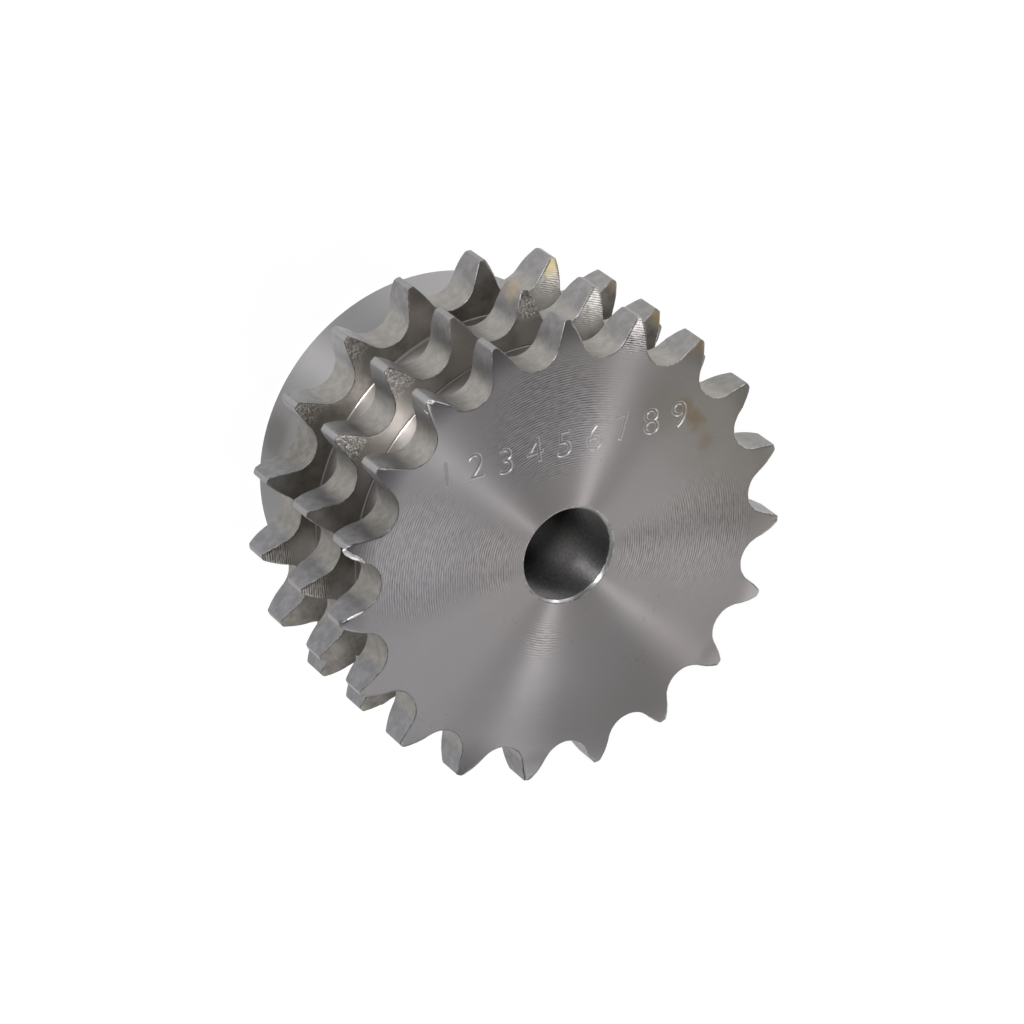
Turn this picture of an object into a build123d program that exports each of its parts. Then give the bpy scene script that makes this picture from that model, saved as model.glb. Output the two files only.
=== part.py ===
# Triplex roller-chain sprocket with nineteen teeth a row and a plain hub on one
# side, turned and toothed from one piece of steel.
# It stands on the end of its hub: the origin is on the axis at the hub's end
# face, and +Z runs up through the three rows of teeth to the far side face.
# A tooth gap is centred on +X.

import os
from math import acos, atan2, cos, degrees, hypot, pi, radians, sin, tan

from build123d import *

# The chain: half inch by five sixteenths, in three strands side by side
chain_pitch = 12.7
roller_diameter = 8.51
strand_pitch = 13.92

# The teeth
tooth_count = 19
row_count = 3
tooth_width = 7.0
tip_diameter = 81.84
seat_half_angle = 64.0
relief_radius = 13.0
relief_depth = 1.1

# The grooves between the rows, which clear the chain's plates
groove_diameter = 63.0

# The hub and the pilot bore
hub_diameter = 62.0
overall_length = 50.0
hub_chamfer = 0.75
bore_diameter = 16.0
bore_chamfer = 0.5

# Worked out from the sizes above
tip_radius = tip_diameter / 2
bore_radius = bore_diameter / 2
toothed_length = (row_count - 1) * strand_pitch + tooth_width
hub_length = overall_length - toothed_length
row_bases = [hub_length + row * strand_pitch for row in range(row_count)]

# Each side of a tooth falls away towards the tip, tangent to the flat side of its
# row, so that the chain's plates slide on without catching. The relief is a curve
# that keeps to the relief radius, with its handle where the end tangents meet.
relief_turn = acos(1 - relief_depth / relief_radius)
relief_start = tip_radius - relief_radius * sin(relief_turn)
relief_handle = relief_start + relief_radius * tan(relief_turn / 2)

# A roller rests in a seat centred on the pitch circle. The seat is a little
# larger than the roller, and a convex flank carries on from each side of it.
pitch_radius = chain_pitch / 2 / sin(pi / tooth_count)
seat_radius = 0.505 * roller_diameter
flank_radius = 0.12 * roller_diameter * (tooth_count + 2)
flank_reach = seat_radius + flank_radius
flank_x = pitch_radius - flank_reach * cos(radians(seat_half_angle))
flank_y = flank_reach * sin(radians(seat_half_angle))

# A gap's outline runs on past the tips, so that it cuts them cleanly. How far the
# flank turns to get there comes from the triangle between the axis, the flank's
# centre and its outer end.
gap_reach = tip_radius + 0.4
centre_distance = hypot(flank_x, flank_y)
centre_angle = degrees(atan2(flank_y, flank_x))
end_angle = degrees(
    acos(
        (centre_distance**2 + flank_radius**2 - gap_reach**2)
        / (2 * centre_distance * flank_radius)
    )
)
flank_turn = centre_angle + end_angle + seat_half_angle - 180

# One tooth gap, centred on +X
with BuildSketch() as gap:
    with BuildLine():
        seat_start = 180 - seat_half_angle
        CenterArc((pitch_radius, 0), seat_radius, seat_start, 2 * seat_half_angle)
        left = CenterArc((flank_x, flank_y), flank_radius, -seat_half_angle, flank_turn)
        right = CenterArc((flank_x, -flank_y), flank_radius, seat_half_angle, -flank_turn)
        ThreePointArc(left @ 1, (gap_reach, 0), right @ 1)
    make_face()

# One row of the blank, before its teeth are cut
with BuildPart() as row_blank:
    with BuildSketch(Plane.XZ):
        with BuildLine():
            Line((0, 0), (relief_start, 0))
            Bezier((relief_start, 0), (relief_handle, 0), (tip_radius, relief_depth))
            Line((tip_radius, relief_depth), (tip_radius, tooth_width - relief_depth))
            Bezier(
                (tip_radius, tooth_width - relief_depth),
                (relief_handle, tooth_width),
                (relief_start, tooth_width),
            )
            Line((relief_start, tooth_width), (0, tooth_width))
            Line((0, tooth_width), (0, 0))
        make_face()
    revolve(axis=Axis.Z)

with BuildPart() as sprocket:
    # The hub, its end chamfered, and the body that carries the rows
    with BuildSketch() as hub_section:
        Circle(hub_diameter / 2)
    extrude(amount=hub_length)
    chamfer(sprocket.edges().group_by(Axis.Z)[0], hub_chamfer)
    with BuildSketch(Plane.XY.offset(hub_length)) as body_section:
        Circle(groove_diameter / 2)
    extrude(amount=toothed_length)
    with Locations([(0, 0, base) for base in row_bases]):
        add(row_blank.part)

    # The bore, chamfered at both mouths
    Hole(bore_radius)
    circles = sprocket.edges().filter_by(GeomType.CIRCLE)
    chamfer(circles.group_by(SortBy.RADIUS)[0], bore_chamfer)

    # The tooth gaps run through every row
    with BuildSketch(Plane.XY.offset(hub_length)) as gaps:
        with PolarLocations(0, tooth_count):
            add(gap.sketch)
    extrude(amount=toothed_length, mode=Mode.SUBTRACT)

sprocket.part.label = "sprocket"
os.makedirs("parts", exist_ok=True)
export_step(sprocket.part, "parts/sprocket.step")
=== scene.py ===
from math import acos, atan2, cos, hypot, pi, radians, sin, sqrt

import bmesh
import bpy
from mathutils import Matrix, Quaternion, Vector, noise


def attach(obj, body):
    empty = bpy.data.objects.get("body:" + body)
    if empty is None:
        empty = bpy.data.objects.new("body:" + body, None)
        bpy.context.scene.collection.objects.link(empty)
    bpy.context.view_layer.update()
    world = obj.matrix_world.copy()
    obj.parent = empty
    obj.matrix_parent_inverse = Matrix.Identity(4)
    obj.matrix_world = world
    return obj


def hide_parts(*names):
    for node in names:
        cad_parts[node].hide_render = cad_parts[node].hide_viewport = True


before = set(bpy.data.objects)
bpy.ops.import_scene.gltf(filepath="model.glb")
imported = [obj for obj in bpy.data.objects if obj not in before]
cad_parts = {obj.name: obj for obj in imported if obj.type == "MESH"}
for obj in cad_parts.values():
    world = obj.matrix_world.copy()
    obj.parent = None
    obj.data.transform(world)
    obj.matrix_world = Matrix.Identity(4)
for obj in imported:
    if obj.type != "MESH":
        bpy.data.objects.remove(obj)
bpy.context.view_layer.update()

mm = 0.001
tiny = 1e-4  # two points this near, in millimetres, are one


# Shader maths and nodes


def plug(slot, value):
    if isinstance(value, Wire):
        slot.id_data.links.new(value.socket, slot)
    else:
        slot.default_value = (*value, 1) if slot.type == "RGBA" else value


def addNode(tree, kind, settings={}, values={}):
    # any node: its settings first, and then what goes into its sockets
    made = tree.nodes.new(kind)
    for name, value in settings.items():
        setattr(made, name, value)
    for name, value in values.items():
        plug(made.inputs[name], value)
    return made


class Wire:
    # One socket. An expression on wires adds its Math nodes.
    def __init__(self, socket):
        self.socket = socket

    def maths(self, operation, *values):
        settings = {"operation": operation}
        node = addNode(self.socket.id_data, "ShaderNodeMath", settings, dict(enumerate(values)))
        return Wire(node.outputs[0])

    def __add__(self, other):
        return self.maths("ADD", self, other)

    def __radd__(self, other):
        return self.maths("ADD", other, self)

    def __sub__(self, other):
        return self.maths("SUBTRACT", self, other)

    def __rsub__(self, other):
        return self.maths("SUBTRACT", other, self)

    def __mul__(self, other):
        return self.maths("MULTIPLY", self, other)

    def __rmul__(self, other):
        return self.maths("MULTIPLY", other, self)

    def __truediv__(self, other):
        return self.maths("DIVIDE", self, other)

    def __pow__(self, other):
        return self.maths("POWER", self, other)

    def sine(self):
        return self.maths("SINE", self)

    def least(self, other):
        return self.maths("MINIMUM", self, other)

    def most(self, other):
        return self.maths("MAXIMUM", self, other)

    def step(self, low, high):
        # 0 below low and 1 above high, or the other way round when low is above high
        start, end = (1.0, 0.0) if low > high else (0.0, 1.0)
        low, high = sorted((low, high))
        values = {"Value": self, "From Min": low, "From Max": high, "To Min": start, "To Max": end}
        settings = {"interpolation_type": "SMOOTHSTEP"}
        node = addNode(self.socket.id_data, "ShaderNodeMapRange", settings, values)
        return Wire(node.outputs["Result"])


class Bench:
    # An empty node tree, with short ways to add nodes to it
    def __init__(self, tree):
        self.tree = tree
        tree.nodes.clear()

    def node(self, kind, settings={}, values={}):
        return addNode(self.tree, kind, settings, values)

    def wire(self, kind, output, settings={}, values={}):
        return Wire(self.node(kind, settings, values).outputs[output])


class Finish(Bench):
    # One material, with the place of a point in millimetres from the axis and the hub's end
    def __init__(self, name, look={}):
        self.name, self.look = name, look
        self.material = bpy.data.materials.new(name)
        self.material.use_nodes = True
        super().__init__(self.material.node_tree)
        scaled = {0: self.wire("ShaderNodeTexCoord", "Object"), "Scale": 1 / mm}
        self.place = self.wire("ShaderNodeVectorMath", 0, {"operation": "SCALE"}, scaled)
        split = self.node("ShaderNodeSeparateXYZ", {}, {0: self.place})
        self.x, self.y, self.z = (Wire(out) for out in split.outputs)
        self.radius = (self.x * self.x + self.y * self.y) ** 0.5

    def cloud(self, size, detail=2.0, rough=0.5, seed=0.0, at=None):
        # soft noise from about 0 to 1, with lumps of the given size in millimetres
        moved = {0: at or self.place, 1: (seed, seed, seed)}
        shifted = self.wire("ShaderNodeVectorMath", 0, {"operation": "ADD"}, moved)
        values = {"Vector": shifted, "Scale": 1 / size, "Detail": detail, "Roughness": rough}
        return self.wire("ShaderNodeTexNoise", "Fac", {}, values)

    def streaks(self, along, width, length, detail=2.0, seed=0.0):
        # noise drawn out round the axis: width is across the tool's path, length along it
        drawn = {0: along / width, 1: self.x / length, 2: self.y / length}
        around = self.wire("ShaderNodeCombineXYZ", 0, {}, drawn)
        return self.cloud(1.0, detail, 0.6, seed, around)

    def near(self, centre, inner, outer, ragged=0.0):
        # 1 within the inner distance of a point and 0 beyond the outer one, which ragged moves about
        ends = {0: self.place, 1: centre}
        gap = self.wire("ShaderNodeVectorMath", "Value", {"operation": "DISTANCE"}, ends)
        return (gap + ragged).step(outer, inner)

    def blend(self, amount, first, second):
        values = {0: amount, 6: first, 7: second}
        return self.wire("ShaderNodeMix", 2, {"data_type": "RGBA"}, values)

    def shade(self, colour, amount):
        # a colour made lighter or darker by a number that varies over the surface
        values = {0: colour, "Scale": amount}
        return self.wire("ShaderNodeVectorMath", 0, {"operation": "SCALE"}, values)

    def steel(self, colour, height, rougher=0.0):
        # bare metal, whose highlights are drawn out across the tool's marks, which run round the axis
        marks = {"Height": height, "Distance": self.look["depth"] * mm}
        values = {
            "Base Color": colour,
            "Metallic": 1.0,
            "Roughness": self.look["rough"] + rougher,
            "Normal": self.wire("ShaderNodeBump", "Normal", {}, marks),
            "Anisotropic": self.look["spread"],
            "Anisotropic Rotation": 0.25,
        }
        skin = self.wire("ShaderNodeBsdfPrincipled", 0, {}, values)
        self.node("ShaderNodeOutputMaterial", {}, {"Surface": skin})
        return self.material


# The sprocket's mesh, worked in millimetres and brought to metres at its end

sprocket = {
    "teeth": 19,
    "rows": 3,
    "chainPitch": 12.7,
    "rollerDiameter": 8.51,
    "strandPitch": 13.92,
    "toothWidth": 7.0,
    "tipRadius": 40.92,
    "seatShare": 0.505,  # the seat's radius, as a share of the roller's diameter
    "flankShare": 0.12,  # the flank's radius, as a share of that and of two teeth more than there are
    "seatHalfAngle": radians(64),
    "reliefRadius": 13.0,
    "reliefDepth": 1.1,
    "grooveRadius": 31.5,
    "cornerRound": 0.3,
    "hubRadius": 31.0,
    "hubChamfer": 0.75,
    "length": 50.0,
    "boreRadius": 8.0,
    "boreChamfer": 0.5,
    "edgeBreak": 0.10,
    "edgeTurn": radians(28),  # an edge that turns by more than this is broken
    "crestBreak": 0.24,
    "wander": 0.035,  # how ragged the broken edges are
    "wanderGrain": 1.7,
    "wanderSeed": 19,  # without one, the ragged edges and the burrs would change from run to run
}

# how finely the mesh is cut, and where its rows are joined to its core
cuts = {
    "seat": 8,
    "flank": 8,
    "crest": 3,
    "land": 1,
    "side": 7,
    "core": 190,
    "corner": 4,
    "edge": 2,
    "rowInner": 32.4,  # the rows reach in to here
    "coreReach": 32.1,  # and the core out to here
    "weld": 0.002,  # points nearer than this are one
    "level": 0.01,  # edges this near in height face each other
}

toothAngle = 2 * pi / sprocket["teeth"]
pitchRadius = sprocket["chainPitch"] / 2 / sin(pi / sprocket["teeth"])
seatRadius = sprocket["seatShare"] * sprocket["rollerDiameter"]
flankRadius = sprocket["flankShare"] * sprocket["rollerDiameter"] * (sprocket["teeth"] + 2)
flankCentre = (
    pitchRadius - (seatRadius + flankRadius) * cos(sprocket["seatHalfAngle"]),
    (seatRadius + flankRadius) * sin(sprocket["seatHalfAngle"]),
)
halfWidth = sprocket["toothWidth"] / 2
hubLength = sprocket["length"] - (sprocket["rows"] - 1) * sprocket["strandPitch"] - sprocket["toothWidth"]
rowMiddles = [hubLength + halfWidth + row * sprocket["strandPitch"] for row in range(sprocket["rows"])]
outlineSteps = 2 * sprocket["teeth"] * sum(cuts[part] for part in ("seat", "flank", "crest", "land"))
reliefTurn = acos(1 - sprocket["reliefDepth"] / sprocket["reliefRadius"])
reliefStart = sprocket["tipRadius"] - sprocket["reliefRadius"] * sin(reliefTurn)


def everything(bm):
    return bm.verts[:] + bm.edges[:] + bm.faces[:]


def onlyVerts(parts):
    return [part for part in parts if isinstance(part, bmesh.types.BMVert)]


def placed(name, data):
    made = bpy.data.objects.new(name, data)
    bpy.context.scene.collection.objects.link(made)
    return made


def asMesh(bm, name):
    made = bpy.data.meshes.new(name)
    bm.to_mesh(made)
    bm.free()
    return made


def inMetres(bm, name):
    # the finished mesh, smooth and at its real size
    for face in bm.faces:
        face.smooth = True
    bmesh.ops.scale(bm, verts=bm.verts[:], vec=(mm, mm, mm))
    return asMesh(bm, name)


def applied(mesh, kind, settings):
    # the mesh as one modifier leaves it, with the modifier gone
    held = placed("held", mesh)
    modifier = held.modifiers.new(kind, kind)
    for name, value in settings.items():
        setattr(modifier, name, value)
    made = bpy.data.meshes.new_from_object(held.evaluated_get(bpy.context.evaluated_depsgraph_get()))
    bpy.data.objects.remove(held)
    return made


def reliefDrop(radius):
    # how far a tooth's side has fallen away at this radius
    if radius <= reliefStart:
        return 0.0
    return sprocket["reliefRadius"] - sqrt(sprocket["reliefRadius"] ** 2 - (radius - reliefStart) ** 2)


def flankTurn():
    # the flank's turn from the seat's end to the tip circle
    reach = hypot(*flankCentre)
    inner = (reach**2 + flankRadius**2 - sprocket["tipRadius"] ** 2) / (2 * reach * flankRadius)
    return atan2(flankCentre[1], flankCentre[0]) + acos(inner) + sprocket["seatHalfAngle"] - pi


def sweepPoint(bm, vert, centre, angle, steps):
    # carries a point round a centre and leaves a chain of edges behind it
    swept = bmesh.ops.spin(bm, geom=[vert], cent=(*centre, 0), axis=(0, 0, 1), angle=angle, steps=steps)
    return onlyVerts(swept["geom_last"])[0]


def quarterTooth():
    # from the middle of a gap to the middle of a tooth, and from one side of the row to its middle
    bm = bmesh.new()
    point = bm.verts.new((pitchRadius - seatRadius, 0, 0))
    point = sweepPoint(bm, point, (pitchRadius, 0), -sprocket["seatHalfAngle"], cuts["seat"])
    point = sweepPoint(bm, point, flankCentre, flankTurn(), cuts["flank"])
    landAngle = toothAngle / 2 - atan2(point.co.y, point.co.x)
    sweepPoint(bm, point, (0, 0), landAngle, cuts["land"])
    bmesh.ops.bevel(
        bm,
        geom=[point],
        offset=sprocket["crestBreak"],
        affect="VERTICES",
        segments=cuts["crest"],
        profile=0.5,
        material=-1,
    )
    outline = bm.edges[:]

    # the row's side, drawn in along its radii and then dropped to the relief
    inner = onlyVerts(bmesh.ops.extrude_edge_only(bm, edges=outline)["geom"])
    for vert in inner:
        vert.co.xy *= cuts["rowInner"] / vert.co.xy.length
    radial = [edge for edge in bm.edges if sum(vert in inner for vert in edge.verts) == 1]
    bmesh.ops.subdivide_edges(bm, edges=radial, cuts=cuts["side"], use_grid_fill=True)
    for vert in bm.verts:
        vert.co.z = halfWidth - reliefDrop(vert.co.xy.length)

    # the tooth's wall, down to the middle of the row
    for vert in onlyVerts(bmesh.ops.extrude_edge_only(bm, edges=outline)["geom"]):
        vert.co.z = 0
    return bm


def toothedRows():
    bm = quarterTooth()
    for axis in ("Y", "Z"):
        bmesh.ops.mirror(bm, geom=everything(bm), merge_dist=tiny, axis=axis)
    bmesh.ops.spin(
        bm,
        geom=everything(bm),
        axis=(0, 0, 1),
        angle=toothAngle * (sprocket["teeth"] - 1),
        steps=sprocket["teeth"] - 1,
        use_duplicate=True,
    )
    bmesh.ops.remove_doubles(bm, verts=bm.verts[:], dist=cuts["weld"])
    lowest = everything(bm)
    for middle in rowMiddles[1:]:
        copies = onlyVerts(bmesh.ops.duplicate(bm, geom=lowest)["geom"])
        bmesh.ops.translate(bm, verts=copies, vec=(0, 0, middle))
    bmesh.ops.translate(bm, verts=onlyVerts(lowest), vec=(0, 0, rowMiddles[0]))
    return bm


def turnedCore():
    # the half section between the rows' inner edges: the bored middle with its hub, and the two grooves
    bm = bmesh.new()
    reach, length = cuts["coreReach"], sprocket["length"]
    hub, bevel = sprocket["hubRadius"], sprocket["hubChamfer"]
    bore, mouth = sprocket["boreRadius"], sprocket["boreChamfer"]
    floor = sprocket["grooveRadius"]
    sections = [
        [
            (reach, length),
            (bore + mouth, length),
            (bore, length - mouth),
            (bore, mouth),
            (bore + mouth, 0),
            (hub - bevel, 0),
            (hub, bevel),
            (hub, hubLength),
            (reach, hubLength),
        ]
    ]
    for middle in rowMiddles[:-1]:
        low, high = middle + halfWidth, middle + sprocket["strandPitch"] - halfWidth
        sections.append([(reach, low), (floor, low), (floor, high), (reach, high)])
    for section in sections:
        chain = [bm.verts.new((radius, 0, height)) for radius, height in section]
        edges = [bm.edges.new(pair) for pair in zip(chain, chain[1:])]
        bmesh.ops.spin(
            bm, geom=chain + edges, axis=(0, 0, 1), angle=2 * pi, steps=cuts["core"], use_merge=True
        )

    # its open edges get as many points as the rows' own
    openEdges = [edge for edge in bm.edges if edge.is_boundary]
    bmesh.ops.subdivide_edges(bm, edges=openEdges, cuts=outlineSteps // cuts["core"] - 1)
    return bm


def joinRows(bm, rows):
    joined = asMesh(rows, "rows")
    bm.from_mesh(joined)
    bpy.data.meshes.remove(joined)
    for level in [middle + side * halfWidth for middle in rowMiddles for side in (-1, 1)]:
        loops = [
            edge
            for edge in bm.edges
            if edge.is_boundary and all(abs(vert.co.z - level) < cuts["level"] for vert in edge.verts)
        ]
        bmesh.ops.bridge_loops(bm, edges=loops)


def breakEdges(bm):
    # inside corners get the tool's nose radius, outside corners a small break
    bmesh.ops.recalc_face_normals(bm, faces=bm.faces[:])
    bm.normal_update()
    inside = (False, sprocket["cornerRound"], cuts["corner"])
    outside = (True, sprocket["edgeBreak"], cuts["edge"])
    for convex, width, segments in (inside, outside):
        sharp = [
            edge
            for edge in bm.edges
            if edge.is_manifold
            and abs(edge.calc_face_angle()) > sprocket["edgeTurn"]
            and edge.is_convex == convex
        ]
        broken = bmesh.ops.bevel(
            bm,
            geom=sharp,
            offset=width,
            affect="EDGES",
            segments=segments,
            profile=0.5,
            material=-1,
            clamp_overlap=True,
        )
        bm.normal_update()
    return broken["faces"]


numbers = {
    "digits": "123456789",
    "size": 6.6,
    "depth": 0.17,
    "lift": 0.95,  # how far their cutters' middles stand over the face, as a share of the depth
    "thin": 0.13,
    "curveSteps": 4,
    "first": (-20.7, 20.9),
    "last": (22.1, 18.7),
    "wander": 0.3,
    "wanderBeat": 2.3,
    "tilt": radians(3),
    "tiltBeat": 4.1,
    "sharpTurn": radians(20),
}


def numberCutters():
    # plain counting numbers, punched by hand and so a little out of line
    bm = bmesh.new()
    top = sprocket["length"]
    start, finish = Vector((*numbers["first"], top)), Vector((*numbers["last"], top))
    for index, digit in enumerate(numbers["digits"]):
        text = bpy.data.curves.new("number", "FONT")
        text.body = digit
        text.size = numbers["size"]
        text.align_x = text.align_y = "CENTER"
        text.resolution_u = numbers["curveSteps"]
        text.extrude = numbers["depth"]
        text.bevel_depth = numbers["depth"]
        text.bevel_resolution = 0
        text.offset = -numbers["thin"]
        holder = bpy.data.objects.new("number", text)
        flat = bpy.data.meshes.new_from_object(holder)
        bpy.data.objects.remove(holder)
        drift = numbers["wander"] * sin(numbers["wanderBeat"] * index)
        turn = numbers["tilt"] * cos(numbers["tiltBeat"] * index)
        place = start.lerp(finish, index / (len(numbers["digits"]) - 1))
        place += Vector((0, drift, numbers["depth"] * numbers["lift"]))
        flat.transform(Matrix.Translation(place) @ Matrix.Rotation(turn, 4, "Z"))
        bm.from_mesh(flat)
        bpy.data.meshes.remove(flat)
    bmesh.ops.remove_doubles(bm, verts=bm.verts[:], dist=tiny)
    bmesh.ops.recalc_face_normals(bm, faces=bm.faces[:])
    return asMesh(bm, "numberCutters")


# how level a face lies, from 0 upright to 1 flat, to count as what its name says
flatness = {"numberFloor": 0.99, "mouthFace": 0.95, "rowSide": 0.85, "hubChamfer": 0.3}


def faceFinish(face):
    # the name of the finish that the tools left on this face
    middle = face.calc_center_median()
    radius, level = middle.xy.length, abs(face.normal.z)
    length = sprocket["length"]
    if radius < sprocket["boreRadius"] + tiny:
        return "drilledBore"
    if radius < sprocket["boreRadius"] + sprocket["boreChamfer"] and level < flatness["mouthFace"]:
        return "brightChamfer"
    if length - 2 * numbers["depth"] < middle.z < length - tiny and radius < cuts["coreReach"]:
        return "numberFloor" if level > flatness["numberFloor"] else "numberMark"
    if radius > sprocket["grooveRadius"] + sprocket["cornerRound"] and level > flatness["rowSide"]:
        return "turnedFace" if middle.z > length - halfWidth else "oiledSide"
    if radius > cuts["rowInner"]:
        landInner = sprocket["tipRadius"] - sprocket["edgeBreak"]
        onLand = all(vert.co.xy.length > landInner for vert in face.verts)
        return "tipLand" if onLand else "toothFlank"
    if middle.z > length - tiny or middle.z < tiny:
        return "turnedFace"
    if middle.z > hubLength + tiny:
        return "grooveFloor"
    onChamfer = level > flatness["hubChamfer"] and middle.z < sprocket["hubChamfer"]
    return "brightChamfer" if onChamfer else "hubSkin"


bm = turnedCore()
joinRows(bm, toothedRows())
brokenFaces = breakEdges(bm)
noise.seed_set(sprocket["wanderSeed"])
outer = sprocket["hubRadius"] + 1
for vert in {vert for face in brokenFaces for vert in face.verts if vert.co.xy.length > outer}:
    vert.co += noise.noise_vector(vert.co * sprocket["wanderGrain"]) * sprocket["wander"]
print("turned and toothed:", len(bm.faces), "faces")

finishNames = [
    "turnedFace",
    "oiledSide",
    "toothFlank",
    "tipLand",
    "grooveFloor",
    "hubSkin",
    "brightChamfer",
    "drilledBore",
    "brokenEdge",
    "numberMark",
    "numberFloor",
]
edgeMark = len(finishNames)  # marks the broken edges through the cut that presses the numbers in
for face in brokenFaces:
    face.material_index = edgeMark
plain = asMesh(bm, "plain")
for _ in range(edgeMark + 1):
    plain.materials.append(None)
cutter = placed("cutter", numberCutters())
punched = applied(plain, "BOOLEAN", {"object": cutter, "operation": "DIFFERENCE", "solver": "MANIFOLD"})
bpy.data.objects.remove(cutter)

bm = bmesh.new()
bm.from_mesh(punched)
for face in bm.faces:
    edgeFace = face.material_index == edgeMark
    face.material_index = finishNames.index("brokenEdge" if edgeFace else faceFinish(face))
numberIndex = finishNames.index("numberMark")
for edge in bm.edges:
    if any(face.material_index >= numberIndex for face in edge.link_faces):
        edge.smooth = abs(edge.calc_face_angle(0)) < numbers["sharpTurn"]
print("numbers pressed in:", len(numbers["digits"]))

mesh = applied(inMetres(bm, "rough"), "WEIGHTED_NORMAL", {"keep_sharp": True, "weight": 50})
mesh.name = "sprocketMesh"
piece = placed("finishedSprocket", mesh)
print("sprocket mesh:", len(mesh.polygons), "faces")

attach(piece, "root")
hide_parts("sprocket")

# Slivers of metal that the cutter left hanging on the front row's edges

burrGrain = 2.6  # how fine their ragged outline is
burrs = {
    "foldedChip": {"start": (-39.3, 13.15, 48.55), "end": (-36.3, 10.45, 50.05),
                   "width": 1.60, "height": 0.50, "taper": 0.70, "ragged": 0.16},
    "brightNeedle": {"start": (-40.1, 1.05, 49.35), "end": (-37.3, 2.05, 50.0),
                     "width": 0.42, "height": 0.30, "taper": 0.3, "ragged": 0.03},
    "tornTip": {"start": (-22.6, 34.2, 48.95), "end": (-21.3, 34.1, 49.3),
                "width": 0.75, "height": 0.36, "taper": 0.3, "ragged": 0.20},
    "tipNeedle": {"start": (-21.2, 34.05, 49.25), "end": (-19.2, 32.95, 49.8),
                  "width": 0.22, "height": 0.16, "taper": 0.3, "ragged": 0.05},
    "tipGlint": {"start": (-23.3, 33.0, 49.0), "end": (-22.7, 32.3, 49.3),
                 "width": 0.26, "height": 0.20, "taper": 0.2, "ragged": 0.08},
    "upperGlint": {"start": (-38.9, 13.75, 49.1), "end": (-38.1, 13.75, 49.3),
                   "width": 0.20, "height": 0.16, "taper": 0.2, "ragged": 0.05},
}

bm = bmesh.new()
for burr in burrs.values():
    start, end = Vector(burr["start"]), Vector(burr["end"])
    along = end - start
    flake = bmesh.ops.create_icosphere(bm, subdivisions=3, radius=0.5)["verts"]
    bmesh.ops.scale(bm, verts=flake, vec=(along.length, burr["width"], burr["height"]))
    for vert in flake:
        narrow = 1 - burr["taper"] * (0.5 + vert.co.x / along.length)
        vert.co.yz = vert.co.y * narrow, vert.co.z * narrow
    turn = along.to_track_quat("X", "Z").to_matrix().to_4x4()
    bmesh.ops.transform(bm, matrix=Matrix.Translation((start + end) / 2) @ turn, verts=flake)
    for vert in flake:
        vert.co += noise.noise_vector(vert.co * burrGrain) * burr["ragged"]
bmesh.ops.recalc_face_normals(bm, faces=bm.faces[:])
burrMesh = inMetres(bm, "burrMesh")
burrPiece = placed("edgeBurrs", burrMesh)
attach(burrPiece, "root")
print("burrs:", len(burrs))

# Finishes, each with the marks of its own tool. Colours are linear, and sizes are in millimetres.
# level says how bright the bare colour is, depth how deep the tool's marks are, and spread how far
# these draw a highlight out.

steels = {
    "turnedFace": {"colour": (0.292, 0.279, 0.286), "warm": (0.299, 0.279, 0.272),
                   "level": 0.94, "paintedLit": 0.9, "paintedShade": 0.24, "rimShade": 0.14,
                   "rough": 0.315, "depth": 0.002, "spread": 0.98},
    "oiledSide": {"colour": (0.37, 0.354, 0.333), "level": 0.84, "paintedLit": 0.66,
                  "rough": 0.36, "depth": 0.006, "spread": 0.9},
    "toothFlank": {"colour": (0.312, 0.297, 0.275), "crest": (0.300, 0.292, 0.291),
                   "blued": (0.286, 0.284, 0.298), "level": 0.49, "sideLevel": 0.24, "paintedShade": 0.2,
                   "rough": 0.38, "depth": 0.010, "spread": 0.0},
    "tipLand": {"colour": (0.300, 0.292, 0.291), "level": 0.84,
                "rough": 0.42, "depth": 0.008, "spread": 0.5},
    "grooveFloor": {"colour": (0.440, 0.415, 0.403), "level": 0.94, "streak": 0.50, "cornerShade": 0.3,
                    "rough": 0.3, "depth": 0.006, "spread": 0.8},
    "hubSkin": {"colour": (0.290, 0.284, 0.284), "level": 0.94, "streak": 0.14, "cornerShade": 0.0,
                "rough": 0.4, "depth": 0.002, "spread": 0.8},
    "brightChamfer": {"colour": (0.62, 0.615, 0.61), "level": 0.94, "streak": 0.25, "cornerShade": 0.0,
                      "rough": 0.34, "depth": 0.004, "spread": 0.8},
    "drilledBore": {"colour": (0.68, 0.665, 0.66), "level": 0.60,
                    "rough": 0.40, "depth": 0.012, "spread": 0.85},
    "brokenEdge": {"colour": (0.29, 0.286, 0.282), "level": 0.35,
                   "rough": 0.46, "depth": 0.03, "spread": 0.0},
    "numberMark": {"colour": (0.70, 0.69, 0.685), "level": 0.8,
                   "rough": 0.42, "depth": 0.006, "spread": 0.0},
    "burrSteel": {"colour": (0.95, 0.94, 0.93), "level": 0.8,
                  "rough": 0.4, "depth": 0.006, "spread": 0.0},
}

# the lines that the turning tool leaves, and how wide and how long their broken pieces are
toolLines = {
    "face": {"pitch": 0.44, "width": 0.15, "length": 1.4},
    "tip": {"pitch": 0.36, "width": 0.22, "length": 0.9},
}

filmColours = {
    "brown": (0.205, 0.158, 0.108),
    "rust": (0.52, 0.40, 0.23),
    "olive": (0.225, 0.215, 0.175),
    "black": (0.10, 0.095, 0.085),
    "gold": (0.62, 0.53, 0.30),
    "handled": (0.215, 0.200, 0.155),
    "oil": (0.190, 0.170, 0.140),
}
filmEdge = {"lump": 2.2, "ragged": 2.0}  # the grain that breaks up a stain's edge, and how far it moves it

# Each place in the lists below has its middle, how far out it is full and where it is gone.

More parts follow.
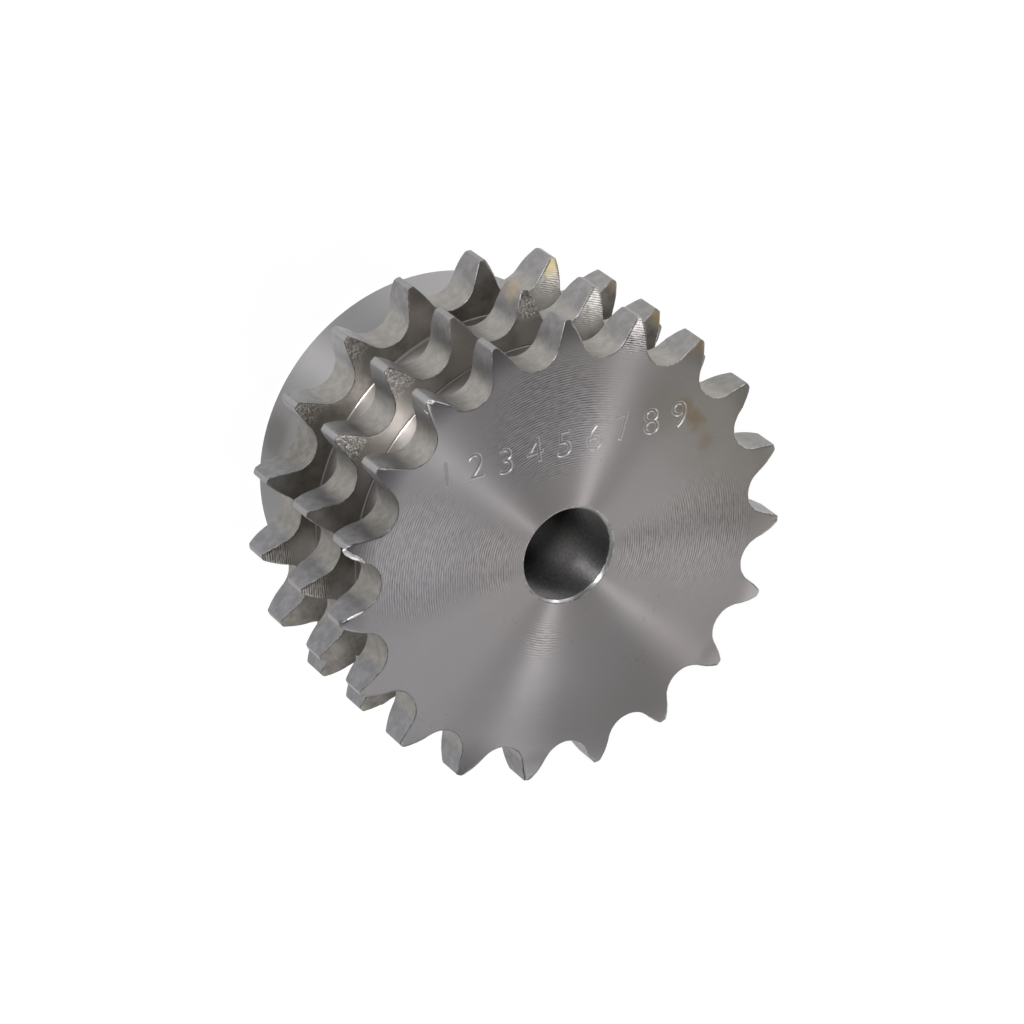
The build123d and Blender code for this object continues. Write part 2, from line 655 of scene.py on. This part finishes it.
# where handling and old oil have coloured the steel
faceStains = {
    "rimTop": {"at": (22.9, 19.9, 50.0), "full": 0.6, "gone": 2.4, "film": "brown", "share": 0.85},
    "rimHeart": {"at": (24.6, 17.4, 50.0), "full": 0.6, "gone": 2.0, "film": "brown", "share": 0.90},
    "rimJoin": {"at": (25.4, 16.0, 50.0), "full": 0.7, "gone": 2.2, "film": "brown", "share": 0.65},
    "rimNeck": {"at": (26.0, 14.8, 50.0), "full": 0.3, "gone": 1.7, "film": "olive", "share": 0.80},
    "rimFoot": {"at": (26.5, 12.3, 50.0), "full": 0.8, "gone": 2.0, "film": "brown", "share": 0.45},
    "rimHaze": {"at": (19.2, 20.4, 50.0), "full": 2.0, "gone": 6.0, "film": "olive", "share": 0.45},
    "frontTip": {"at": (27.4, 29.9, 48.8), "full": 0.4, "gone": 3.4, "film": "rust", "share": 0.45},
}
sideStains = {
    "middleTip": {"at": (28.0, 29.2, 35.4), "full": 0.8, "gone": 2.8, "film": "rust", "share": 0.90},
    "farTip": {"at": (28.4, 29.8, 21.3), "full": 0.8, "gone": 2.8, "film": "rust", "share": 0.60},
    "leftTip": {"at": (-9.6, 38.8, 21.4), "full": 1.0, "gone": 4.0, "film": "brown", "share": 0.45},
    "giltTooth": {"at": (15.4, 37.6, 22.0), "full": 1.2, "gone": 4.0, "film": "gold", "share": 0.95},
}
flankStains = {
    "middleCrest": {"at": (2.4, 40.6, 32.6), "full": 0.6, "gone": 3.0, "film": "rust", "share": 0.45},
    # painted shade: a near-black spot standing in for a shaded hollow beside the needle burr
    "shadeBesideNeedle": {"at": (-41.0, -0.1, 48.6), "full": 0.5, "gone": 1.3, "film": "black", "share": 0.9},
}
hubPaintedShade = {
    # painted shade on the hub under a tooth of the rear row
    "shadeUnderTooth": {"at": (-28.8, 11.6, 4.0), "full": 1.5, "gone": 6.0, "film": "black", "share": 0.50},
}

# the side of the rim that was handled most
handledSide = ((38.0, 16.0, 38.0), 6.0, 30.0)

# where the face's turning lines are painted stronger, standing in for the light that makes them show there
paintedLineContrast = {
    "left": ((-27.0, 8.5, 50.0), 6.0, 14.0),
    "leftInner": ((-14.5, 4.0, 50.0), 3.5, 8.5),
    "top": ((-2.0, 25.0, 50.0), 7.0, 14.0),
    "right": ((25.0, -4.0, 50.0), 5.0, 13.0),
    "rightInner": ((14.0, -3.5, 50.0), 3.0, 8.0),
    "bottom": ((-6.0, -14.0, 50.0), 0.5, 5.0),
}
# where the tips' turning lines are painted stronger: a painted highlight on the tooth near x 16 in each row,
# and chatter on the two left tips
tipChatterAndHighlight = {
    "front": ((15.9, 37.2, 49.0), 3.6, 6.5),
    "middle": ((15.9, 37.2, 35.0), 3.6, 7.5),
    "far": ((15.9, 37.2, 21.0), 3.6, 7.5),
    "leftMiddle": ((-39.2, 0.3, 35.5), 2.0, 4.5),
    "leftFar": ((-38.0, -0.2, 21.9), 2.0, 4.5),
}

# tips torn rough by the cutter
tornTips = {
    "highMiddle": ((3.4, 38.6, 35.6), 1.4, 4.4),
    "topMiddle": ((-20.8, 32.6, 35.6), 2.6, 4.6),
    "topFar": ((-22.0, 33.2, 21.5), 1.6, 4.2),
    "leftMiddle": ((-30.6, 24.0, 35.6), 2.0, 4.2),
    "leftFar": ((-31.6, 24.5, 21.4), 2.0, 4.2),
}

# tips darkened with painted shade
shadedTips = {
    "lowLeft": ((-9.4, -37.9, 49.6), 2.0, 5.0),
    "lowRight": ((26.7, -28.6, 49.6), 2.0, 5.0),
    "lowMiddle": ((-20.5, -33.0, 49.8), 2.0, 7.0),
}

# seats darkened with painted shade
shadedSeats = {
    "front": ((-31.0, 17.4, 48.0), 3.0, 7.0),
    "far": ((-30.5, 17.8, 17.0), 3.0, 8.0),
    "low": ((-17.0, -33.0, 46.0), 6.0, 13.0),
}

# painted light: places on the face and the rows' sides made brighter, where the sides also carry less oil
paintedLit = {
    "left": ((-22.0, 24.5, 36.0), 5.0, 16.0),
    "notch": ((-7.0, 35.0, 36.0), 3.0, 12.0),
    "leftLow": ((-33.0, 0.0, 22.0), 1.5, 5.0),
    "top": ((4.5, 34.0, 36.0), 1.0, 8.0),
    "farTop": ((-9.0, 36.5, 21.6), 0.5, 8.0),
    "front": ((16.0, 38.2, 48.6), 1.2, 4.2),
    "middle": ((15.4, 36.6, 35.2), 3.6, 8.0),
    "far": ((14.8, 36.0, 21.4), 3.6, 8.0),
}

# painted light and shade: turned places made brighter or duller than the rest of their surface, and last by
# how much
paintedLightPatches = {
    "turnedFace": {
        "low": ((-8.5, -30.0, 50.0), 1.0, 12.0, -0.22),
        "high": ((11.5, 27.0, 50.0), 3.0, 11.0, -0.10),
        "left": ((-27.0, 11.5, 50.0), 3.0, 12.0, 0.10),
        "inner": ((9.5, -10.9, 50.0), 3.0, 9.0, 0.08),
        "lowRight": ((25.0, -13.5, 50.0), 4.0, 12.0, 0.10),
    },
    "grooveFloor": {"lens": ((-9.5, 30.0, 22.5), 3.0, 9.0, 0.60)},
    "hubSkin": {"top": ((4.0, 31.0, 5.0), 5.0, 19.0, 0.55)},
    "brightChamfer": {
        "lower": ((-2.2, -8.2, 49.8), 1.0, 4.6, 0.55),
        "right": ((7.5, 3.7, 49.8), 2.0, 4.5, -0.38),
    },
}


def widest(finish, places):
    # 1 inside any of the places
    mask = 0.0
    for centre, full, gone in places.values():
        mask = finish.near(centre, full, gone).most(mask)
    return mask


def stained(finish, tone, stains):
    # lays every film over the tone, each with an edge that the grain of the film breaks up
    grain = finish.cloud(filmEdge["lump"], detail=4.0, rough=0.6, seed=11.0)
    ragged = (grain - 0.5) * filmEdge["ragged"]
    for stain in stains.values():
        film = finish.near(stain["at"], stain["full"], stain["gone"], ragged)
        tone = finish.blend(film * stain["share"], tone, filmColours[stain["film"]])
    return tone


def withPaintedLight(finish, level):
    # the level, with the painted light and shade listed for this finish
    for centre, full, gone, gain in paintedLightPatches[finish.name].values():
        level = level + finish.near(centre, full, gone) * gain
    return level


def browned(finish, tone, share):
    # brings the tone nearer to the brown that the handled side has gone
    mottle = finish.cloud(6.0, detail=3.0, rough=0.55, seed=3.0) * 0.9 + 0.35
    return finish.blend(finish.near(*handledSide) * mottle * share, tone, filmColours["handled"])


def turningLines(finish, pitch, width, length):
    # the tool's own lines, from about -0.5 to 0.5, that waver and break up along their length
    path = finish.radius + finish.cloud(4.0, seed=41.0) * 0.3
    swing = (path * (2 * pi / pitch)).sine() * 0.5
    dashes = finish.streaks(finish.radius, width, length, seed=19.0).step(0.32, 0.68)
    broken = finish.cloud(1.3, seed=47.0).step(0.30, 0.62)
    return swing * (broken * 0.6 + 0.3) + dashes * 0.5 - 0.25


def turnedFace():
    face = Finish("turnedFace", steels["turnedFace"])
    patchy = face.cloud(8.0, detail=3.0)
    fine = face.streaks(face.radius, width=0.13, length=5.0)
    warm = (face.x * 0.018 + face.cloud(13.0, seed=9.0)).step(0.2, 1.0)
    warm = warm.most(face.radius.step(23.0, 12.0) * 0.8)
    tone = browned(face, face.blend(warm, face.look["colour"], face.look["warm"]), 0.8)
    lines = turningLines(face, **toolLines["face"])
    tipLines = turningLines(face, **toolLines["tip"])
    # the stronger lines in these places stand in for the light that shows them
    bold = widest(face, paintedLineContrast) * (patchy + 1) * 0.7 * face.radius.step(7.5, 11.0)
    # at the tooth near x 16 the stronger lines are a painted highlight
    relief = lines * (bold * 0.70 + 0.05) + tipLines * (widest(face, tipChatterAndHighlight) * 1.5)
    level = relief + fine * 0.08 + patchy * 0.05 + face.look["level"]
    # painted light on the brightened places, and painted shade on the darkened tips
    level = level + widest(face, paintedLit) * face.look["paintedLit"] - widest(face, shadedTips) * face.look["paintedShade"]
    # painted shade: the +x half is darker towards its rim
    level = level - face.radius.step(17.0, 34.0) * face.x.step(-16.0, 4.0) * face.look["rimShade"]
    tone = face.shade(tone, withPaintedLight(face, level))
    specks = (face.cloud(0.7, seed=31.0) * face.cloud(7.0, seed=5.0)).step(0.40, 0.46)
    tone = face.blend(specks * 0.3, tone, filmColours["brown"])
    tone = stained(face, tone, faceStains)
    height = lines + fine * 0.5 + face.cloud(0.5, detail=1.0, seed=3.0) * 0.5
    return face.steel(tone, height, patchy * 0.03)


def oiledSide():
    side = Finish("oiledSide", steels["oiledSide"])
    lines = turningLines(side, **toolLines["tip"])
    fine = side.streaks(side.radius, width=0.18, length=6.0, detail=3.0)
    # painted light: these places on the sides are brighter and carry less oil
    paintedLitMask = widest(side, paintedLit)
    film = side.cloud(3.5, detail=4.0, rough=0.6).step(0.25, 0.80) * (1 - paintedLitMask * 0.8)
    tone = side.blend(film, side.look["colour"], filmColours["oil"])
    tip = side.radius.step(35.4, 37.0)
    torn = widest(side, tornTips) * tip
    crumbs = side.cloud(0.42, detail=3.0, rough=0.65, seed=17.0).step(0.42, 0.64)
    # painted glints: bright specks on the torn tips
    paintedGlints = side.cloud(0.36, seed=53.0).step(0.60, 0.66)
    # only tips get the strong lines, except that the tooth near x 16 gets them to its foot as a painted
    # highlight
    chatterAndHighlight = widest(side, tipChatterAndHighlight) * tip.most(side.x.step(5.0, 9.0) * 1.6)
    marks = lines * (chatterAndHighlight * 1.3 + 0.08) + torn * (crumbs + paintedGlints * 0.8 - 0.38) * 0.9
    level = marks + fine * 0.34 + paintedLitMask * side.look["paintedLit"] + side.look["level"]
    tone = stained(side, side.shade(tone, level), sideStains)
    height = lines + fine + torn * crumbs * 12.0
    return side.steel(tone, height, film * 0.08 - torn * 0.05)


def toothFlank():
    flank = Finish("toothFlank", steels["toothFlank"])
    patchy = flank.cloud(2.6, detail=4.0, rough=0.55)
    mottle = flank.cloud(1.5, detail=4.0, rough=0.62, seed=37.0).step(0.34, 0.68)
    grain = flank.cloud(0.3, seed=7.0)
    hobbed = flank.streaks(flank.z, width=0.5, length=2.5, seed=13.0)
    blued = flank.cloud(1.9, detail=3.0, rough=0.6, seed=29.0) - (flank.x + flank.y) * 0.004
    tone = flank.blend(blued.step(0.52, 0.68), flank.look["crest"], flank.look["blued"])
    crest = (flank.radius + patchy * 1.2).step(35.7, 38.0)
    tone = browned(flank, flank.blend(crest, flank.look["colour"], tone), 0.5)
    # brighter towards +x, and duller towards the tips where x is above about -10
    sideLevel = flank.x.step(-5.0, 30.0) + flank.x.step(-37.0, -21.0)
    sideLevel = sideLevel - flank.radius.step(35.4, 38.4) * flank.x.step(-22.0, -10.0)
    # painted shade on the darkened seats
    level = sideLevel * flank.look["sideLevel"] - widest(flank, shadedSeats) * flank.look["paintedShade"]
    level = level + patchy * 0.16 + mottle * 0.20 + (grain + hobbed) * 0.12 + flank.look["level"]
    tone = stained(flank, flank.shade(tone, level), flankStains)
    height = hobbed * 0.7 + grain * 0.4 + patchy + mottle * 0.8
    return flank.steel(tone, height, patchy * 0.14)


def tipLand():
    land = Finish("tipLand", steels["tipLand"])
    marks = land.streaks(land.z, width=0.2, length=6.0) + land.cloud(0.5, detail=3.0)
    tone = land.shade(browned(land, land.look["colour"], 0.6), marks * 0.2 + land.look["level"])
    return land.steel(stained(land, tone, flankStains), marks)


def turnedRound(name):
    # a groove's floor, the hub or a chamfer, which may have painted shade in the corners beside the rows
    skin = Finish(name, steels[name])
    fine = skin.streaks(skin.z, width=0.22, length=12.0, detail=3.0)
    patchy = skin.cloud(6.0, detail=3.0)
    corner = skin.radius.step(sprocket["grooveRadius"] + 0.02, sprocket["grooveRadius"] + 0.15)
    level = (fine - 0.5) * skin.look["streak"] + (patchy - 0.5) * 0.14 + skin.look["level"]
    # painted shade in the corner beside the rows
    level = level - corner * skin.look["cornerShade"]
    tone = skin.shade(skin.look["colour"], withPaintedLight(skin, level))
    return skin.steel(stained(skin, tone, hubPaintedShade), fine, patchy * 0.06)


def drilledBore():
    # painted shade: dark in its depth, bright half way and darker again by the mouth's wider side
    bore = Finish("drilledBore", steels["drilledBore"])
    fine = bore.streaks(bore.z + bore.x * 0.12, width=0.30, length=4.0, detail=3.0)
    grain = bore.cloud(0.45, detail=3.0, rough=0.6).step(0.3, 0.7)
    depth = bore.z.step(33.0, 41.0) * 0.95 + 0.16
    mouth = 1 - bore.z.step(40.0, 49.0) * bore.x.step(-1.0, 4.0) * 0.6
    level = depth * mouth * (fine * 0.4 + grain * 0.3 + bore.look["level"])
    return bore.steel(bore.shade(bore.look["colour"], level), fine + grain)


def brokenEdge():
    # painted shade on the edges' glints, so they are darker towards -x and brighter towards +x
    edge = Finish("brokenEdge", steels["brokenEdge"])
    grain = edge.cloud(0.9, detail=4.0, rough=0.65)
    level = (grain.step(0.3, 0.7) * 1.2 + edge.look["level"]) * (edge.x.step(-25.0, 25.0) + 0.65)
    return edge.steel(edge.shade(edge.look["colour"], level), grain)


def struckSteel(name):
    # metal that was pressed or torn, with no tool's lines on it
    metal = Finish(name, steels[name])
    grain = metal.cloud(0.3, detail=3.0)
    return metal.steel(metal.shade(metal.look["colour"], grain * 0.4 + metal.look["level"]), grain)


made = {
    "turnedFace": turnedFace(),
    "oiledSide": oiledSide(),
    "toothFlank": toothFlank(),
    "tipLand": tipLand(),
    "grooveFloor": turnedRound("grooveFloor"),
    "hubSkin": turnedRound("hubSkin"),
    "brightChamfer": turnedRound("brightChamfer"),
    "drilledBore": drilledBore(),
    "brokenEdge": brokenEdge(),
    "numberMark": struckSteel("numberMark"),
}
made["numberFloor"] = made["turnedFace"]
for name in finishNames:
    mesh.materials.append(made[name])
burrMesh.materials.append(struckSteel("burrSteel"))
print("finishes:", len(steels))


# Floor, world, lamps and camera, with their sizes in metres and their angles in degrees

room = {
    "floorRadius": 20,
    "floorSteps": 64,
    "floorGrey": (0.9, 0.9, 0.9),
    "floorGlow": 1.13,
    "glowShare": 0.8,  # how much of the glow the camera and the steel's mirror see
    "low": (0.44, 0.44, 0.45),
    "high": (0.13, 0.13, 0.136),
    "turn": (0.05, 0.8),  # the heights between which the low colour gives way to the high one
    "middle": (0, 0, 0.03),
    "lampDistance": 1.5,
}

bm = bmesh.new()
bmesh.ops.create_circle(bm, cap_ends=True, segments=room["floorSteps"], radius=room["floorRadius"])
floor = placed("floor", asMesh(bm, "floorMesh"))

floorPaint = Finish("floorPaint")
rays = floorPaint.node("ShaderNodeLightPath").outputs
seen = Wire(rays["Is Camera Ray"]) + Wire(rays["Is Glossy Ray"]) + Wire(rays["Is Transmission Ray"])
share = seen.least(1.0) * room["glowShare"]
matt = floorPaint.wire("ShaderNodeBsdfDiffuse", 0, {}, {"Color": room["floorGrey"]})
white = floorPaint.wire("ShaderNodeEmission", 0, {}, {"Color": (1, 1, 1), "Strength": room["floorGlow"]})
shown = floorPaint.wire("ShaderNodeMixShader", 0, {}, {0: share, 1: matt, 2: white})
floorPaint.node("ShaderNodeOutputMaterial", {}, {"Surface": shown})
floor.data.materials.append(floorPaint.material)

world = bpy.data.worlds.new("studio")
bpy.context.scene.world = world
world.use_nodes = True
studio = Bench(world.node_tree)
lookedAt = studio.wire("ShaderNodeTexCoord", "Generated")
height = Wire(studio.node("ShaderNodeSeparateXYZ", {}, {0: lookedAt}).outputs["Z"])
shares = {0: height.step(*room["turn"]), 6: room["low"], 7: room["high"]}
dome = studio.wire("ShaderNodeMix", 2, {"data_type": "RGBA"}, shares)
sky = studio.wire("ShaderNodeBackground", 0, {}, {"Color": dome, "Strength": 1.0})
studio.node("ShaderNodeOutputWorld", {}, {"Surface": sky})

lamps = {
    "mirrorBox": {"azimuth": -49, "elevation": 52, "size": (0.40, 0.30), "watts": 0.82},
    "highBox": {"azimuth": -90, "elevation": 68, "size": (0.40, 0.40), "watts": 0.37},
    "leftBox": {"azimuth": -93, "elevation": 46, "size": (0.50, 0.45), "watts": 0.72},
    "farLeftBox": {"azimuth": -120, "elevation": 46, "size": (0.50, 0.45), "watts": 1.53},
    "lowLeftBox": {"azimuth": -70, "elevation": 29, "size": (0.10, 0.40), "watts": 1.00},
    "lowFarLeftBox": {"azimuth": -105, "elevation": 20, "size": (0.50, 0.40), "watts": 1.16},
    "lowBox": {"azimuth": -43, "elevation": 18, "size": (0.45, 0.40), "watts": 3.00},
    "lowBoxLeft": {"azimuth": -62, "elevation": 16, "size": (0.35, 0.40), "watts": 0.71},
    "lowBoxRight": {"azimuth": -22, "elevation": 14, "size": (0.35, 0.40), "watts": 0.76},
    "rightBox": {"azimuth": -8, "elevation": 28, "size": (0.35, 0.35), "watts": 0.48},
    "keyBox": {"azimuth": 4, "elevation": 50, "size": (0.12, 0.12), "watts": 1.24},
    "sideStrip": {"azimuth": 35, "elevation": 18, "size": (0.15, 0.25), "watts": 1.30},
    "fillRight": {"azimuth": 60, "elevation": 14, "size": (0.40, 0.40), "watts": 0.78},
    "fillLeft": {"azimuth": 165, "elevation": 14, "size": (0.60, 0.40), "watts": 0.40},
    "frontLow": {"azimuth": 131, "elevation": 8, "size": (0.10, 0.30), "watts": 6.20},
    "frontStrip": {"azimuth": 131, "elevation": 22, "size": (0.08, 0.30), "watts": 8.00},
    "frontHigh": {"azimuth": 131, "elevation": 70, "size": (0.14, 0.30), "watts": 1.00},
}
cameraView = {
    "azimuth": 130.8286,
    "elevation": 51.5014,
    "distance": 0.776738,
    "aim": (0.002012, -0.00249, 0.027545),
    "roll": 127.9587,
    "lens": 164.805,
    "sensor": 36,
}


def stood(name, data, place, aim, distance, roll=0.0):
    # stands a lamp or the camera off from what it is aimed at, and turns it to look back
    turn, rise = radians(place["azimuth"]), radians(place["elevation"])
    back = Vector((cos(turn) * cos(rise), sin(turn) * cos(rise), sin(rise)))
    holder = placed(name, data)
    holder.location = Vector(aim) + back * distance
    holder.rotation_mode = "QUATERNION"
    holder.rotation_quaternion = back.to_track_quat("Z", "Y") @ Quaternion((0, 0, 1), radians(roll))
    return holder


for name, lamp in lamps.items():
    light = bpy.data.lights.new(name, "AREA")
    light.shape = "RECTANGLE"
    light.size, light.size_y = lamp["size"]
    light.energy = lamp["watts"]
    stood(name, light, lamp, room["middle"], room["lampDistance"])
print("lamps:", len(lamps))

camera = bpy.data.cameras.new("camera")
camera.lens = cameraView["lens"]
camera.sensor_width = cameraView["sensor"]
viewer = stood("camera", camera, cameraView, cameraView["aim"], cameraView["distance"], cameraView["roll"])
bpy.context.scene.camera = viewer
bpy.context.scene.view_settings.view_transform = "Standard"
